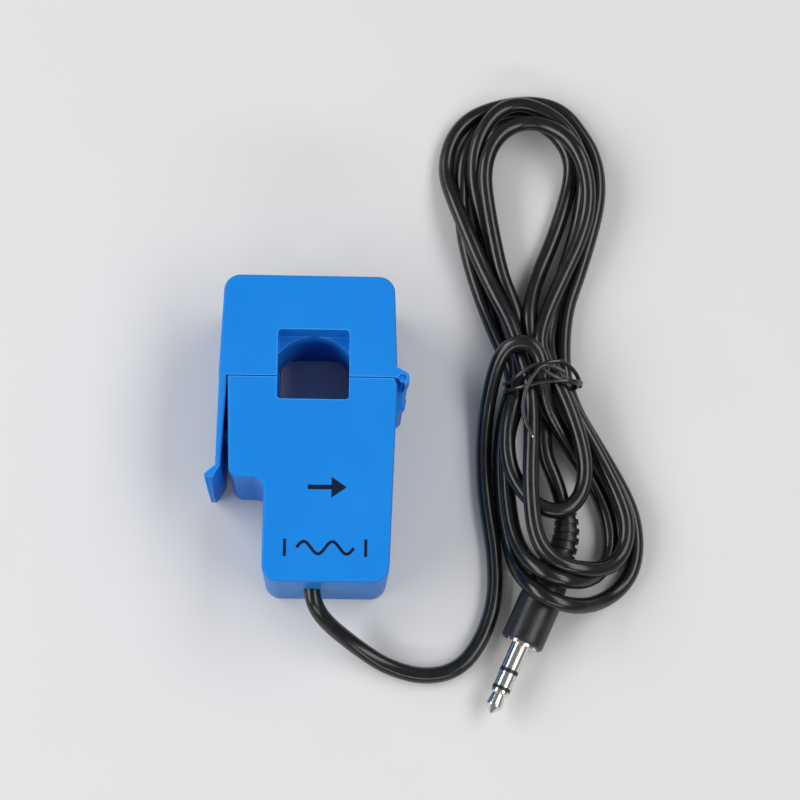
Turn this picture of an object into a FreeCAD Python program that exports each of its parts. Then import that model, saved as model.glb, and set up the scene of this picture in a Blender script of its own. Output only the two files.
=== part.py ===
import FreeCAD, Part
import math
import os

# Clip-on current transformer: a hinged jaw and a lower housing close round a conductor window,
# and a thin round lead runs from the housing to a small audio plug.
# Millimetres. The origin is on the window's axis at the back face. +Z is the printed front,
# +Y runs from the housing to the jaw, and the part lies on its back with its lead on the same surface.

V = FreeCAD.Vector

# Housing
window = 13.0
window_corner = 0.7
depth = 22.0
split_y = -2.3
split_gap = 0.2
jaw_top = 16.8
body_bottom = -39.5
side_room = 0.7
latch_room = 0.15
side_draft = 2.0
foot_left = -8.5
step_y = -20.9
step_corner_r = 1.9
step_fillet_r = 2.1
corner_r = 3.0
edge_r = 0.45
wall = 1.6
seam_off_middle = 1.0

# Window lining
recess = 5.0
rim_wall = 1.2
arch_r = 7.9
arch_y = -1.4
arch_wall = 1.0
rib_plate = 0.7
sight_height = 3.2
sight_depth = 8.0

# Latch arm
arm_wall = 1.65
arm_gap = 0.22
arm_flare = 0.65
arm_reach = 16.55
arm_inset = 0.06
arm_root = 1.2
tab_out = 1.9
tab_drop = 1.7
tab_length = 2.5
tab_curve_r = 31.0
catch_height = 0.55
catch_width = 8.0
catch_y = -11.0
catch_rise = 1.6
catch_room = 0.2
catch_play = 1.2

# Hinge
hinge_out = 0.9
pin_r = 0.65
pivot_set_back = 0.5
pin_clearance = 0.06
hook_wall = 0.6
hook_length = 5.0
hook_side_gap = 0.3
hook_sweep_gap = 0.25
bracket_r = 1.1
bracket_drop = 5.8
bracket_out = 1.3
stop_angle = 66.0
stop_near = 1.1
stop_far = 1.7

# Locating tabs on the split line
tab_width = 1.6
tab_rise = 0.5
tab_gap = 0.15
tab_skin = 0.7
tab_left = -8.9
tab_from_right = 2.65

# Magnetic core
core_face_gap = 0.3
core_clearance = 0.15
core_half_width = 12.8
core_top = 13.4
core_corner_r = 3.5
pole_gap = 0.06
yoke_low = -16.5
yoke_thick = 4.5
spring_thick = 0.3
spring_width = 8.0
spring_span = 16.0

# Bobbin and winding
bobbin_wall = 0.7
bobbin_clearance = 0.15
flange_thick = 0.8
flange_gap = 0.35
winding_thick = 1.5
tape_thick = 0.2

# Load resistor board
board_thick = 1.0
board_under_seam = 4.5
board_left = -5.6
board_right = 11.0
board_low = -33.4
board_high = -23.6
boss_r = 1.4
post_r = 1.9
post_sunk = 0.4
peg_r = 1.0
peg_clearance = 0.05
peg_length = 2.8
resistor_r = 1.15
resistor_length = 6.3
resistor_y = -27.0
lead_wire_r = 0.3
pad_r = 0.7

# Lead
cord_r = 1.5
cord_x = 0.3
cord_bore_clearance = 0.06
cord_inner_end = -35.9
tie_thick = 1.1
tie_width = 1.6
tie_gap = 0.2
tie_head = 3.2
tie_head_edge_r = 0.3
core_wire_r = 0.45
conductor_straight = 1.2
conductor_bend_r = 0.9

# Plug
plug_tip_x = 33.19
plug_tip_y = -60.64
plug_turn = 65.7
plug_z = 4.0
contact_length = 14.1
contact_r = 1.75
sleeve_end = 5.3
ring_start = 6.1
ring_end = 8.8
tip_start = 9.5
collar_r = 3.1
collar_thick = 0.5
grip_r = 4.0
grip_rear_r = 3.3
grip_length = 18.6
relief_r = 2.7
relief_rear_r = 2.1
relief_turn = 38.0
relief_bend_r = 12.0
relief_ribs = 5
rib_gap_depth = 0.55
rib_share = 0.55
rib_offset = 0.66
tip_core = 0.5
ring_core = 0.85
ring_outer = 1.15
liner_outer = 1.4
shank_back = -4.0
shank_r = 2.2

# Twist tie
twist_r = 0.5
twist_clearance = 0.1
twist_y = 2.4
twist_corner_r = 0.65
pigtail_r = 0.75
pigtail_start = V(43.2, 3.4, 11.05)
pigtail_end = V(40.6, -8.6, 10.0)

# The sides follow the core, and the seam and the core follow the depth
side_right = core_half_width + core_clearance + side_room + wall
body_left = -side_right - latch_room
side_left = body_left - arm_wall
hinge_x = side_right + hinge_out
tab_places = [tab_left, side_right - tab_from_right]
seam_z = depth / 2 + seam_off_middle
core_depth = depth - 2 * (recess + rib_plate + core_face_gap)
board_z = seam_z - board_under_seam

# The lead's route from inside the housing to the top of the hank's waist, chosen point by point
lead_points = [
    V(cord_x, cord_inner_end, seam_z),
    V(cord_x, body_bottom - 2.4, seam_z),
    V(1.5, -44.9, 9.0),
    V(4.6, -47.2, 5.0),
    V(8.8, -49.6, 2.1),
    V(14.2, -52.3, 1.5),
    V(21.0, -54.0, 1.5),
    V(27.6, -52.6, 1.5),
    V(32.0, -47.0, 1.5),
    V(34.5, -39.4, 1.5),
    V(34.4, -30.6, 1.5),
    V(32.6, -20.0, 1.5),
    V(32.4, -9.6, 2.4),
    V(33.2, -1.8, 5.8),
    V(34.6, 4.6, 10.0),
    V(38.0, 8.8, 10.2),
    V(42.2, 8.8, 10.2),
]

# The hank seen from above: the outside and the opening of its far loops, then of its near loops
far_outside = [(36.4, 10.0), (33.2, 17.0), (28.3, 28.2), (24.0, 39.5), (23.5, 47.8), (25.2, 54.6),
               (32.5, 61.0), (42.0, 62.9), (49.4, 61.7), (55.0, 53.8), (57.9, 45.0), (57.2, 38.6),
               (55.2, 29.0), (51.0, 18.0), (50.2, 10.0)]
far_opening = [(40.2, 18.5), (36.8, 28.0), (34.2, 38.0), (34.6, 46.0), (39.0, 51.6), (45.8, 50.6),
               (48.4, 45.6), (46.4, 34.0), (42.4, 25.0)]
near_outside = [(50.2, -2.0), (53.6, -6.0), (58.2, -13.0), (62.0, -21.0), (62.9, -29.0), (61.6, -36.0),
                (57.0, -41.0), (50.0, -43.2), (44.0, -42.0), (39.6, -38.0), (37.1, -32.0), (35.6, -26.5),
                (34.6, -20.0), (34.6, -12.0), (36.4, -2.0)]
near_opening = [(41.6, -8.4), (41.5, -16.0), (42.4, -25.0), (45.0, -30.6), (50.0, -32.2), (53.8, -29.6),
                (54.0, -20.0), (52.0, -12.0), (48.4, -8.4)]
inner_loop = [(40.0, -19.5), (42.5, -21.4), (46.6, -23.1), (50.0, -21.3), (51.6, -17.9), (51.7, -13.7),
              (50.6, -9.4), (49.0, -6.0)]
hank_top = 8.4
hank_top_near = 12.2
hank_near_end = -46.0
waist_left = 36.4
waist_right = 50.6
waist_top = 9.9
waist_tied_half = 2.9
waist_shoulder = 4.6
waist_shoulder_in = 3.8
waist_high = 10.0
waist_low = -2.0
inner_loop_low = 6.4
inner_loop_high = 9.4
inner_loop_half = 1.6
turn_back_x = 42.2
turn_back_y = 8.8
turn_back_wide = 3.8
turn_back_long = 4.6
turn_back_top = 11.9
turn_back_sunk = 1.0
hank_clearance = 0.35
hank_far_end = 70.0
hank_right_limit = 90.0
tail_z = 4.4
tail_x = 43.7
tail_run = 3.8
tail_last_run = 5.6

# Worked out from the sizes above
half_window = window / 2
arch_outer = arch_r + arch_wall
mid_low = recess
mid_high = depth - recess
core_low = (depth - core_depth) / 2
core_high = core_low + core_depth
core_inner = arch_outer + core_clearance
yoke_high = yoke_low + yoke_thick
draft = math.tan(math.radians(side_draft))
hinge = V(hinge_x, split_y, 0)
hook_bore = pin_r + pin_clearance
hook_r = hook_bore + hook_wall
bracket_low = hook_length + hook_side_gap
bracket_high = depth - hook_length - hook_side_gap
board_top = board_z + board_thick
jaw_face = split_y + split_gap / 2
body_face = split_y - split_gap / 2


def box(x0, y0, z0, x1, y1, z1):
    """A block between two corners."""
    return Part.makeBox(x1 - x0, y1 - y0, z1 - z0, V(x0, y0, z0))


def prism(points, z0, z1):
    """A flat outline with straight sides, raised from z0 to z1."""
    ring = [V(x, y, z0) for x, y in points]
    face = Part.Face(Part.makePolygon(ring + [ring[0]]))
    return face.extrude(V(0, 0, z1 - z0))


def upright_edges(solid, places):
    """The edges along Z that stand at the given places."""
    found = []
    for edge in solid.Edges:
        a, b = edge.Vertexes[0].Point, edge.Vertexes[-1].Point
        if abs(a.x - b.x) > 1e-6 or abs(a.y - b.y) > 1e-6:
            continue
        if any(math.hypot(a.x - x, a.y - y) < 1e-3 for x, y in places):
            found.append(edge)
    return found


def rounded(solid, places, radius):
    """Rounds the upright edges at the given places."""
    edges = upright_edges(solid, places)
    return solid.makeFillet(radius, edges) if edges else solid


def softened(solid, radius, sharp_y, shortest=0.0):
    """Rounds the edges of the front and back faces, apart from short ones and the one at sharp_y."""
    edges = []
    low, high = solid.BoundBox.ZMin, solid.BoundBox.ZMax
    for edge in solid.Edges:
        heights = [v.Z for v in edge.Vertexes]
        if max(heights) - min(heights) > 1e-4 or min(abs(heights[0] - low), abs(heights[0] - high)) > 1e-4:
            continue
        if all(abs(v.Y - sharp_y) < 1e-6 for v in edge.Vertexes) or edge.Length < shortest:
            continue
        edges.append(edge)
    return solid.makeFillet(radius, edges)


def cylinder(x, y, z0, z1, radius):
    """A round bar along Z."""
    return Part.makeCylinder(radius, z1 - z0, V(x, y, z0), V(0, 0, 1))


def joined(shapes):
    """One solid from shapes that touch or overlap."""
    first = shapes[0]
    whole = first.fuse(shapes[1:]) if len(shapes) > 1 else first
    return whole.removeSplitter()


def right_side(y):
    """The right side wall leans in away from the split."""
    return side_right - abs(y - split_y) * draft


def left_side(y):
    return side_left + abs(y - split_y) * draft


def body_left_side(y):
    return body_left + abs(y - split_y) * draft


def rim_block(z0, z1, side, low, high):
    """A block as large as the window's rim between two heights."""
    return box(-side, low, z0, side, high, z1)


def window_opening(low, high):
    """The square mouths at the front and back."""
    blocks = []
    for z0, z1 in [(-1.0, mid_low), (mid_high, depth + 1.0)]:
        block = box(-half_window, -half_window, z0, half_window, half_window, z1)
        corners = [(sx * half_window, sy * half_window) for sx in (-1, 1) for sy in (-1, 1)]
        block = rounded(block, corners, window_corner)
        blocks.append(block.common(box(-side_right, low, z0, side_right, high, z1)))
    return blocks


def arch_shape(radius, z0, z1):
    """A round-topped channel, with straight sides below the arch's centre."""
    ring = cylinder(0, arch_y, z0, z1, radius)
    legs = box(-radius, split_y - 20.0, z0, radius, arch_y, z1)
    return ring.fuse(legs).removeSplitter()


def make_jaw():
    """The hinged jaw: a box that is open at the split, its latch arm and its two hinge hooks."""
    y0, y1 = jaw_face, jaw_top
    outline = [(left_side(y0), y0), (right_side(y0), y0), (right_side(y1), y1), (left_side(y1), y1)]
    outer = prism(outline, 0, depth)
    outer = rounded(outer, outline[2:], corner_r)
    outer = softened(outer, edge_r, y0)
    outer = outer.fuse(latch_arm()).removeSplitter()
    inside = [(left_side(y0) + wall, y0 - 1.0), (right_side(y0) - wall, y0 - 1.0),
              (right_side(y1) - wall, y1 - wall), (left_side(y1) + wall, y1 - wall)]
    hollow = rounded(prism(inside, wall, depth - wall), inside[2:], corner_r - wall)
    side = half_window + rim_wall
    keep = joined([rim_block(0, mid_low + rib_plate, side, y0 - 1.0, side),
                   rim_block(mid_high - rib_plate, depth, side, y0 - 1.0, side),
                   arch_shape(arch_outer, mid_low, mid_high).common(
                       box(-side_right, y0 - 1.0, 0, side_right, jaw_top, depth))])
    shell = outer.cut(hollow.cut(keep))
    for mouth in window_opening(y0 - 1.0, jaw_top):
        shell = shell.cut(mouth)
    channel = arch_shape(arch_r, mid_low, mid_high)
    shell = shell.cut(channel.common(box(-arch_r, y0 - 1.0, 0, arch_r, jaw_top, depth)))
    shell = shell.fuse(core_stops()).removeSplitter()
    scoop = cylinder(hinge.x, hinge.y, bracket_low - hook_side_gap, bracket_high + hook_side_gap,
                     bracket_r + hook_sweep_gap)
    shell = shell.cut(scoop)
    for x in tab_places:
        for z0, z1 in [(tab_skin, wall + tab_gap), (depth - wall - tab_gap, depth - tab_skin)]:
            notch = box(x - tab_width / 2 - tab_gap, y0 - 1.0, z0,
                        x + tab_width / 2 + tab_gap, y0 + tab_rise, z1)
            shell = shell.cut(notch)
    return shell.fuse(hinge_hooks()).removeSplitter()


def latch_arm():
    """The springy arm at the left: it hangs from the jaw, with a thumb tab at its end."""
    out_top = left_side(jaw_face) + arm_inset
    top = jaw_face + arm_root
    end = jaw_face - arm_reach
    out_end = out_top - 0.2
    inner_top = body_left - arm_gap
    inner_end = inner_top - arm_flare
    tab_x = out_end - tab_out
    inner_tab = tab_x + arm_wall - 0.4
    tip = end - tab_drop - tab_length
    points = [(out_top + arm_inset, top), (out_end, end), (tab_x, end - tab_drop),
              (tab_x + 0.1, end - tab_drop - 0.6), (tab_x + 0.6, tip), (tab_x + 1.5, tip),
              (inner_tab + 0.05, end - tab_drop - 1.0), (inner_end, end), (inner_top, jaw_face - 2.0),
              (inner_top, top)]
    arm = softened(prism(points, arm_inset, depth - arm_inset), edge_r, top, arm_reach / 2)
    middle = depth / 2
    pocket = box(inner_end - catch_room, catch_y - catch_rise / 2 - catch_play,
                 middle - catch_width / 2 - catch_play / 2, body_left,
                 catch_y + catch_rise / 2 + catch_play / 2, middle + catch_width / 2 + catch_play / 2)
    across = body_left - tab_x + 1.0
    curve = Part.makeCylinder(tab_curve_r, across, V(tab_x - 1.0, tip + tab_curve_r, middle), V(1, 0, 0))
    corners = box(tab_x - 1.0, tip - 1.0, -1.0, body_left, end - tab_drop, depth + 1.0).cut(curve)
    return arm.cut(pocket).cut(corners)


def core_stops():
    """Ribs inside the jaw that centre the upper core."""
    gap = core_half_width + core_clearance
    ribs = []
    for y in (2.0, 9.0):
        for z0 in (core_low + 1.0, core_high - 2.0):
            ribs.append(box(left_side(y) + wall - 0.5, y, z0, -gap, y + 1.0, z0 + 1.0))
            ribs.append(box(gap, y, z0, right_side(y) - wall + 0.5, y + 1.0, z0 + 1.0))
    return ribs


def hinge_hooks():
    """Two open hooks that snap over the housing's pivots."""
    hooks = []
    for z0 in (0.0, depth - hook_length):
        z1 = z0 + hook_length
        ring = cylinder(hinge.x, hinge.y, z0, z1, hook_r)
        root = side_right - wall / 2
        web = prism([(root, jaw_face), (root, hinge.y + hook_r + 0.9),
                     (right_side(hinge.y + 1.9) - 0.3, hinge.y + hook_r + 0.9),
                     (hinge.x + 0.4, hinge.y + hook_r - 0.08), (hinge.x, hinge.y),
                     (hinge.x - 0.2, jaw_face)], z0, z1)
        hook = ring.fuse(web).removeSplitter()
        hook = hook.cut(cylinder(hinge.x, hinge.y, z0 - 1.0, z1 + 1.0, hook_bore))
        reach = 4.0
        mouth = [(hinge.x, hinge.y)]
        for angle in (182.0, 225.0, 270.0, 292.0):
            mouth.append((hinge.x + reach * math.cos(math.radians(angle)),
                          hinge.y + reach * math.sin(math.radians(angle))))
        hooks.append(hook.cut(prism(mouth, z0 - 1.0, z1 + 1.0)))
    return hooks


def body_outline(inset):
    """The lower housing seen from the front, drawn in by the wall for its hollow."""
    y0 = body_face + (1.0 if inset else 0.0)
    low = body_bottom + inset
    step = step_y + inset
    return [(body_left_side(y0) + inset, y0), (right_side(y0) - inset, y0),
            (right_side(low) - inset, low), (foot_left + inset, low),
            (foot_left + inset, step), (body_left_side(step) + inset, step)]


def body_prism(inset, z0, z1):
    """The lower housing's outline raised between two heights, with its rounded corners."""
    points = body_outline(inset)
    solid = prism(points, z0, z1)
    solid = rounded(solid, [points[2], points[3]], max(corner_r - inset, 0.6))
    solid = rounded(solid, [points[4]], step_fillet_r + inset)
    return rounded(solid, [points[5]], max(step_corner_r - inset, 0.3))


def body_shell():
    """The whole lower housing before it is parted into its two shells."""
    outer = softened(body_prism(0.0, 0, depth), edge_r, body_face)
    hollow = body_prism(wall, wall, depth - wall)
    side = half_window + rim_wall
    top = body_face
    keep = joined([rim_block(0, mid_low + rib_plate, side, -side, top + 1.0),
                   rim_block(mid_high - rib_plate, depth, side, -side, top + 1.0),
                   rim_block(mid_low, mid_high, arch_outer, -half_window - arch_wall, top + 1.0)])
    shell = outer.cut(hollow.cut(keep))
    for mouth in window_opening(-jaw_top, top + 1.0):
        shell = shell.cut(mouth)
    shell = shell.cut(box(-arch_r, -half_window, mid_low, arch_r, top + 1.0, mid_high))
    middle = depth / 2
    sight = box(-arch_outer - 0.5, top - sight_height, middle - sight_depth / 2,
                arch_outer + 0.5, top + 1.0, middle + sight_depth / 2)
    shell = shell.cut(sight)
    shell = shell.fuse(leg_ribs()).removeSplitter()
    scoop_r = hook_r + hook_sweep_gap
    for z0, z1 in [(-1.0, bracket_low), (bracket_high, depth + 1.0)]:
        shell = shell.cut(cylinder(hinge.x, hinge.y, z0, z1, scoop_r))
    shell = shell.fuse([pivot_bracket(), catch_ridge()] + locating_tabs()).removeSplitter()
    bore_r = cord_r + cord_bore_clearance
    bore = Part.makeCylinder(bore_r, wall + 3.0, V(cord_x, body_bottom - 1.5, seam_z), V(0, 1, 0))
    return shell.cut(bore)


def leg_ribs():
    """Ribs inside the housing that centre the lower core's legs."""
    gap = core_half_width + core_clearance
    ribs = []
    for y in (-6.0, -12.0):
        for z0 in (core_low + 1.0, core_high - 2.0):
            ribs.append(box(body_left_side(y) + wall - 0.5, y, z0, -gap, y + 1.0, z0 + 1.0))
            ribs.append(box(gap, y, z0, right_side(y) - wall + 0.5, y + 1.0, z0 + 1.0))
    return ribs


def pivot_bracket():
    """The bracket beside the housing with a stub pivot at each end."""
    low = hinge.y - bracket_drop
    out = right_side(low) + bracket_out
    root = side_right - wall * 0.6
    web = prism([(root, hinge.y - 0.9), (hinge.x, hinge.y), (hinge.x + bracket_r, hinge.y),
                 (out + 0.15, hinge.y - 1.6), (out, low + 1.0), (right_side(low) - 0.2, low - 0.2),
                 (root, low - 0.2)], bracket_low, bracket_high)
    knuckle = cylinder(hinge.x, hinge.y, bracket_low, bracket_high, bracket_r)
    pivots = cylinder(hinge.x, hinge.y, pivot_set_back, depth - pivot_set_back, pin_r)
    stop = prism([(hinge.x, hinge.y), wall_when_open(stop_near), wall_when_open(stop_far),
                  (hinge.x + bracket_r, hinge.y)], bracket_low, bracket_high)
    return joined([web, knuckle, pivots, stop])


def wall_when_open(height):
    """Where a point of the jaw's right side, at a height above the hinge, stands at the opening's end."""
    angle = math.radians(stop_angle)
    return (hinge.x - hinge_out * math.cos(angle) + height * math.sin(angle),
            hinge.y + hinge_out * math.sin(angle) + height * math.cos(angle))


def catch_ridge():
    """The ridge on the left side that the latch arm's pocket drops over."""
    middle = depth / 2
    x = body_left_side(catch_y)
    out = body_left - arm_gap - catch_height
    half = catch_rise / 2
    ridge = prism([(x + 0.3, catch_y + half), (x - 0.05, catch_y + half), (out, catch_y - half * 0.4),
                   (out, catch_y - half), (x + 0.3, catch_y - half)],
                  middle - catch_width / 2, middle + catch_width / 2)
    return ridge


def locating_tabs():
    """Small tabs on the split line that key into the jaw's edge."""
    tabs = []
    for x in tab_places:
        for z0, z1 in [(tab_skin + tab_gap, wall), (depth - wall, depth - tab_skin - tab_gap)]:
            tabs.append(box(x - tab_width / 2, body_face - tab_rise, z0,
                            x + tab_width / 2, jaw_face + tab_rise - tab_gap, z1))
    return tabs


def posts():
    """Where the two shells are pegged together, and where the board rests."""
    inner_low = body_bottom + wall
    reach = post_r - post_sunk
    y = inner_low + reach
    pegs = [(foot_left + wall + reach, y), (right_side(y) - wall - reach, y)]
    bosses = [(board_left + boss_r + 0.4, board_high - boss_r - 0.4),
              (board_right - boss_r - 0.4, board_high - boss_r - 0.4),
              (board_left + boss_r + 0.4, board_low + boss_r + 0.4),
              (board_right - boss_r - 0.4, board_low + boss_r + 0.4)]
    return pegs, bosses


def make_rear_shell(whole):
    """The back half of the lower housing, with the board's bosses and the two pegs."""
    shell = whole.common(box(-30, -60, -1, 30, 30, seam_z))
    pegs, bosses = posts()
    parts = []
    for x, y in pegs:
        parts.append(cylinder(x, y, wall - 0.2, seam_z, post_r))
        parts.append(cylinder(x, y, seam_z, seam_z + peg_length, peg_r))
    for x, y in bosses:
        parts.append(cylinder(x, y, wall - 0.2, board_z, boss_r))
        parts.append(cylinder(x, y, board_z, board_top + 0.4, boss_r / 2))
    clip = body_prism(0.3, 0.3, depth)
    parts = [p.common(clip) for p in parts]
    return shell.fuse(parts).removeSplitter()


def make_front_shell(whole):
    """The front half of the lower housing, with the sockets for the pegs."""
    shell = whole.common(box(-30, -60, seam_z, 30, 30, depth + 1))
    pegs, bosses = posts()
    clip = body_prism(0.3, 0, depth - 0.3)
    columns = [cylinder(x, y, seam_z, depth - wall + 0.2, post_r).common(clip) for x, y in pegs]
    shell = shell.fuse(columns).removeSplitter()
    for x, y in pegs:
        shell = shell.cut(cylinder(x, y, seam_z - 1.0, seam_z + peg_length + 0.3, peg_r + peg_clearance))
    return shell


def make_upper_core():
    """The U-shaped half core in the jaw, with a round throat that rides on the arch."""
    face = split_y + pole_gap / 2
    outer = box(-core_half_width, face, core_low, core_half_width, core_top, core_high)
    outer = rounded(outer, [(-core_half_width, core_top), (core_half_width, core_top)], core_corner_r)
    return outer.cut(arch_shape(core_inner, core_low - 1.0, core_high + 1.0))


def make_lower_core():
    """The U-shaped half core in the lower housing, whose yoke carries the winding."""
    face = split_y - pole_gap / 2
    outer = box(-core_half_width, yoke_low, core_low, core_half_width, face, core_high)
    outer = rounded(outer, [(-core_half_width, yoke_low), (core_half_width, yoke_low)], core_corner_r)
    return outer.cut(box(-core_inner, yoke_high, core_low - 1.0, core_inner, face + 1.0, core_high + 1.0))


def make_core_spring():
    """A bowed leaf that presses the upper core towards the split."""
    roof = jaw_top - wall
    rise = roof - core_top
    half = spring_span / 2
    middle = depth / 2
    points = []
    for lower in (True, False):
        top = roof - spring_thick if lower else roof
        foot = core_top if lower else core_top + spring_thick
        a, b, c = V(-half, foot, 0), V(0, top, 0), V(half, foot, 0)
        points.append((a, b, c))
    low, high = points
    edges = [Part.Arc(*low).toShape(), Part.LineSegment(low[2], high[2]).toShape(),
             Part.Arc(high[2], high[1], high[0]).toShape(), Part.LineSegment(high[0], low[0]).toShape()]
    face = Part.Face(Part.Wire(edges))
    leaf = face.extrude(V(0, 0, spring_width))
    leaf.translate(V(0, 0, middle - spring_width / 2))
    return leaf


def yoke_sleeve(inner, outer, half):
    """A square tube round the yoke, between two offsets from its faces."""
    block = box(-half, yoke_low - outer, core_low - outer, half, yoke_high + outer, core_high + outer)
    bore = box(-half - 1, yoke_low - inner, core_low - inner, half + 1, yoke_high + inner, core_high + inner)
    return block.cut(bore)


def make_bobbin():
    """The winding former, moulded in two halves that clip round the yoke."""
    inner = bobbin_clearance
    outer = inner + bobbin_wall
    half = core_inner - flange_gap
    low = step_y + wall + flange_gap
    high = -half_window - rim_wall - flange_gap
    parts = [yoke_sleeve(inner, outer, half)]
    for x in (-half, half - flange_thick):
        flange = box(x, low, wall + flange_gap, x + flange_thick, high, depth - wall - flange_gap)
        hole = box(x - 1, yoke_low - inner, core_low - inner, x + 2, yoke_high + inner, core_high + inner)
        parts.append(flange.cut(hole))
    whole = joined(parts)
    middle = depth / 2
    front = whole.common(box(-30, -40, middle, 30, 30, depth))
    rear = whole.common(box(-30, -40, 0, 30, 30, middle))
    return front, rear


def make_winding():
    """The fine copper winding and the tape over it."""
    base = bobbin_clearance + bobbin_wall
    half = core_inner - flange_gap - flange_thick
    copper = yoke_sleeve(base, base + winding_thick, half)
    outside = base + winding_thick
    tape = yoke_sleeve(outside, outside + tape_thick, half)
    return copper, tape


def make_board():
    """The small circuit board that carries the load resistor."""
    board = box(board_left, board_low, board_z, board_right, board_high, board_top)
    corners = [(x, y) for x in (board_left, board_right) for y in (board_low, board_high)]
    board = rounded(board, corners, 0.8)
    for x, y in posts()[1]:
        board = board.cut(cylinder(x, y, board_z - 1, board_top + 1, boss_r / 2 + peg_clearance))
    for x, y in pad_places():
        board = board.fuse(cylinder(x, y, board_top, board_top + 0.1, pad_r))
        board = board.cut(cylinder(x, y, board_z - 1, board_top + 1, lead_wire_r + 0.1))
    return board.removeSplitter()


def resistor_ends():
    centre = (board_left + board_right) / 2
    reach = resistor_length / 2 + 1.6
    return [(centre - reach, resistor_y), (centre + reach, resistor_y)]


def wire_ends():
    """Pads for the lead's two conductors, then for the winding's two ends."""
    cord_pads = [(cord_x - 1.8, board_low + 1.4), (cord_x + 1.8, board_low + 1.4)]
    coil_pads = [(cord_x - 2.2, board_high - 1.2), (cord_x + 5.2, board_high - 1.2)]
    return cord_pads, coil_pads


def pad_places():
    cord_pads, coil_pads = wire_ends()
    return resistor_ends() + cord_pads + coil_pads


def make_resistor():
    """The load resistor: a waisted body and two legs bent down into the board."""
    (x0, y0), (x1, y1) = resistor_ends()
    axis_z = board_top + resistor_r + 0.15
    body_x = (x0 + x1 - resistor_length) / 2
    along = V(1, 0, 0)
    body = Part.makeCylinder(resistor_r * 0.86, resistor_length, V(body_x, y0, axis_z), along)
    cap = resistor_length * 0.24
    ends = [Part.makeCylinder(resistor_r, cap, V(body_x, y0, axis_z), along),
            Part.makeCylinder(resistor_r, cap, V(body_x + resistor_length - cap, y0, axis_z), along)]
    ends = [e.makeFillet(0.3, [c for c in e.Edges if isinstance(c.Curve, Part.Circle)]) for e in ends]
    bend = 0.7
    legs = []
    for x, way in [(x0, 1), (x1, -1)]:
        start = V(x, y0, board_z - 0.6)
        corner = V(x, y0, axis_z)
        inner = V(x + way * 2.2, y0, axis_z)
        legs.append(tube([start, corner, inner], lead_wire_r, bend))
    return joined([body] + ends + legs)


def tube(points, radius, bend=None):
    """A round bar along straight runs joined by tangent arcs. With no bend given, each arc is
    as large as its two runs allow."""
    edges, here = [], points[0]
    radii = []
    for before, corner, after in zip(points, points[1:], points[2:]):
        u = (before - corner).normalize()
        w = (after - corner).normalize()
        turn = math.pi - u.getAngle(w)
        shorter = min((before - corner).Length, (after - corner).Length)
        arc_r = bend if bend else 0.45 * shorter / math.tan(turn / 2)
        back = arc_r * math.tan(turn / 2)
        radii.append(arc_r)
        start, end = corner + u * back, corner + w * back
        middle_way = (u + w).normalize()
        middle = corner + middle_way * (arc_r / math.cos(turn / 2) - arc_r)
        edges.append(Part.LineSegment(here, start).toShape())
        edges.append(Part.Arc(start, middle, end).toShape())
        here = end
    edges.append(Part.LineSegment(here, points[-1]).toShape())
    path = Part.Wire(edges)
    ahead = (points[1] - points[0]).normalize()
    ring = Part.Wire([Part.Circle(points[0], ahead, radius).toShape()])
    solid = path.makePipeShell([ring], True, False)
    if bend is None:
        length = path.Length
        area = math.pi * radius ** 2
        print("tube", [round(r, 1) for r in radii], "length", round(length, 1),
              "volume ratio", round(solid.Volume / (area * length), 4))
    return solid


def make_wires():
    """The lead's two conductors and the winding's two ends, each soldered to its pad."""
    cord_pads, coil_pads = wire_ends()
    solder = board_top + 0.1
    conductors = []
    for (x, y), side in zip(cord_pads, (-1, 1)):
        start = V(cord_x + side * (core_wire_r + 0.15), cord_inner_end, seam_z)
        straight = start + V(0, conductor_straight, 0)
        top = V(x, y + 0.1, seam_z - 0.4)
        foot = V(x, y, solder)
        wire = tube([start, straight, top, foot], core_wire_r, conductor_bend_r)
        dome = Part.makeCone(pad_r, core_wire_r, 0.5, V(x, y, solder), V(0, 0, 1))
        conductors.append(joined([wire, dome]))
    ends = []
    base = bobbin_clearance + bobbin_wall + winding_thick + tape_thick
    coil_low = yoke_low - base
    for x, y in coil_pads:
        start = V(x, coil_low, board_top + 3.0)
        top = V(x, y - 0.2, board_top + 2.6)
        foot = V(x, y, solder)
        wire = tube([start, top, foot], lead_wire_r, 0.8)
        dome = Part.makeCone(pad_r, lead_wire_r, 0.5, V(x, y, solder), V(0, 0, 1))
        ends.append(joined([wire, dome]))
    return conductors[0], conductors[1], Part.makeCompound(ends)


def make_cord_tie():
    """The nylon tie drawn tight on the lead just inside the housing, which takes the pull."""
    y = body_bottom + wall + tie_gap
    outer = Part.makeCylinder(cord_r + tie_thick, tie_width, V(cord_x, y, seam_z), V(0, 1, 0))
    head = box(cord_x + cord_r, y, seam_z - tie_head / 2, cord_x + cord_r + tie_thick + tie_head / 2,
               y + tie_width, seam_z + tie_head / 2)
    head = head.makeFillet(tie_head_edge_r, head.Edges)
    tie = outer.fuse(head).removeSplitter()
    return tie.cut(Part.makeCylinder(cord_r, tie_width + 2, V(cord_x, y - 1, seam_z), V(0, 1, 0)))


# The plug lies on its grip. Places along it are counted from the collar's face towards the tip.
turn = math.radians(plug_turn)
plug_ahead = V(-math.cos(turn), -math.sin(turn), 0)
plug_base = V(plug_tip_x, plug_tip_y, plug_z) - plug_ahead * contact_length


def plug_at(distance):
    return plug_base + plug_ahead * distance


def turned(profile, origin, ahead):
    """A turned solid from pairs of distance along the axis and radius."""
    side = V(0, 0, 1)
    points = [origin + ahead * d + side * r for d, r in profile]
    face = Part.Face(Part.makePolygon(points + [points[0]]))
    return face.revolve(origin, ahead, 360)


def plug_ring_solid(start, end, outer, inner):
    return turned([(start, inner), (start, outer), (end, outer), (end, inner)], plug_base, plug_ahead)


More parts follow.
